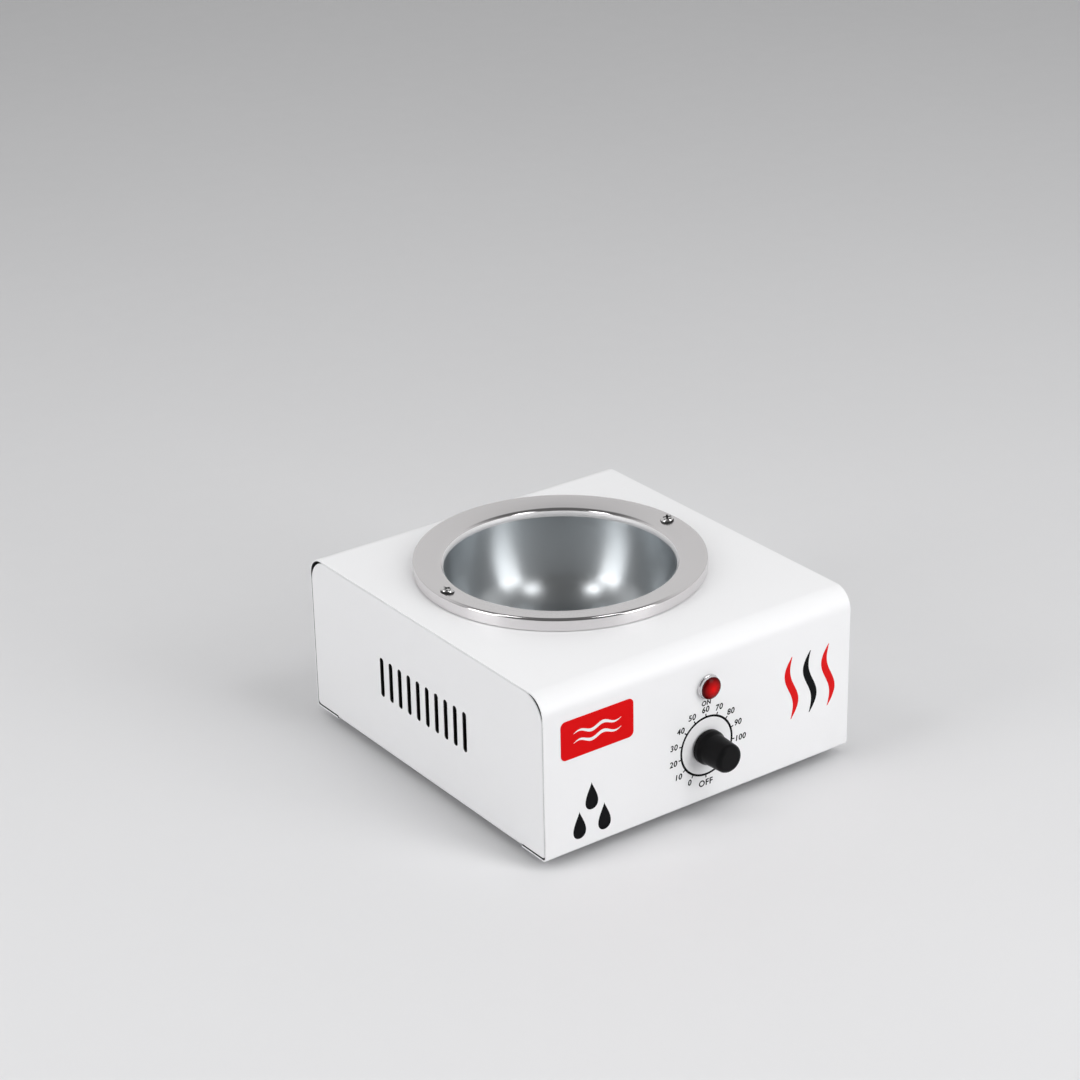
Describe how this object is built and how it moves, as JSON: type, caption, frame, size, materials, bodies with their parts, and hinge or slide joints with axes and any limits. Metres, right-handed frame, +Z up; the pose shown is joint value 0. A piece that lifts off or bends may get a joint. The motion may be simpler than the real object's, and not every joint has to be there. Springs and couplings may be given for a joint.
{
  "type": "wax heater",
  "caption": "White sheet-metal wax heater: folded box with a drawn metal bowl under a dished trim ring, slotted side panels, pilot lamp and rotary thermostat knob.",
  "frame": {"origin": "middle of the overall footprint, on the floor plane under the rubber feet", "axes": "+Z up, the front panel with the knob faces -Y, the cord entry faces +Y, +X to the right seen from the front"},
  "size_m": [0.23, 0.2776, 0.1234],
  "materials": {
    "white_powder_coat": "satin powder coat",
    "ring_metal": "fine satin",
    "bowl_metal": "drawn, polished",
    "bright_screw": "bright plated",
    "plated_steel": "zinc plated",
    "knob_plastic": "smooth satin",
    "lamp_red": "clear red",
    "lamp_bright": "bright plated",
    "lamp_glass": "clear",
    "foot_rubber": "matt",
    "black_nylon": "moulded",
    "thermostat_case": "drawn",
    "terminal_brass": "stamped",
    "sensor_copper": "drawn copper",
    "mica_sheet": "split sheet",
    "fibre_insulation": "needled fibre",
    "terminal_plastic": "moulded",
    "brown_wire": "sleeved",
    "blue_wire": "sleeved",
    "grey_wire": "sleeved",
    "earth_wire_green": "sleeved",
    "white_wire": "sleeved"
  },
  "bodies": {
    "housing": {"outer_shell": "white_powder_coat", "left_side_panel": "white_powder_coat", "right_side_panel": "white_powder_coat", "trim_ring": "ring_metal", "bowl": "bowl_metal", "ring_screws": "bright_screw", "base_plate": "plated_steel", "heat_shield": "plated_steel", "clamp_plate": "plated_steel", "base_screws": "plated_steel", "foot_screws": "plated_steel", "foot_nuts": "plated_steel", "ring_nuts": "plated_steel", "clamp_stud": "plated_steel", "clamp_nuts": "plated_steel", "shield_spacer": "plated_steel", "thermostat_nut": "plated_steel", "lamp_nut": "plated_steel", "earth_stud": "plated_steel", "earth_nut": "plated_steel", "terminal_screws": "plated_steel", "bulb_clip": "plated_steel", "heating_element": "plated_steel", "lamp_lens": "lamp_red", "lamp_bezel": "lamp_bright", "neon_bulb": "lamp_glass", "feet": "foot_rubber", "cord_gland": "black_nylon", "gland_nut": "black_nylon", "lamp_holder": "black_nylon", "thermostat_body": "thermostat_case", "thermostat_tabs": "terminal_brass", "lamp_tabs": "terminal_brass", "sensor_bulb": "sensor_copper", "capillary_tube": "sensor_copper", "mica_upper": "mica_sheet", "mica_lower": "mica_sheet", "insulation_pad": "fibre_insulation", "insulation_wrap": "fibre_insulation", "bowl_gasket": "fibre_insulation", "terminal_block": "terminal_plastic", "live_wire": "brown_wire", "neutral_wire": "blue_wire", "switched_wire": "grey_wire", "earth_wire": "earth_wire_green", "lamp_wires": "white_wire"},
    "control_knob": {"knob": "knob_plastic", "thermostat_shaft": "plated_steel"}
  },
  "joints": [
    {"name": "knob_turn", "type": "hinge", "parent": "housing", "child": "control_knob", "pos_m": [0.0035, -0.11625, 0.044], "axis": [0, 1, 0], "range_deg": [0, 275]}
  ]
}
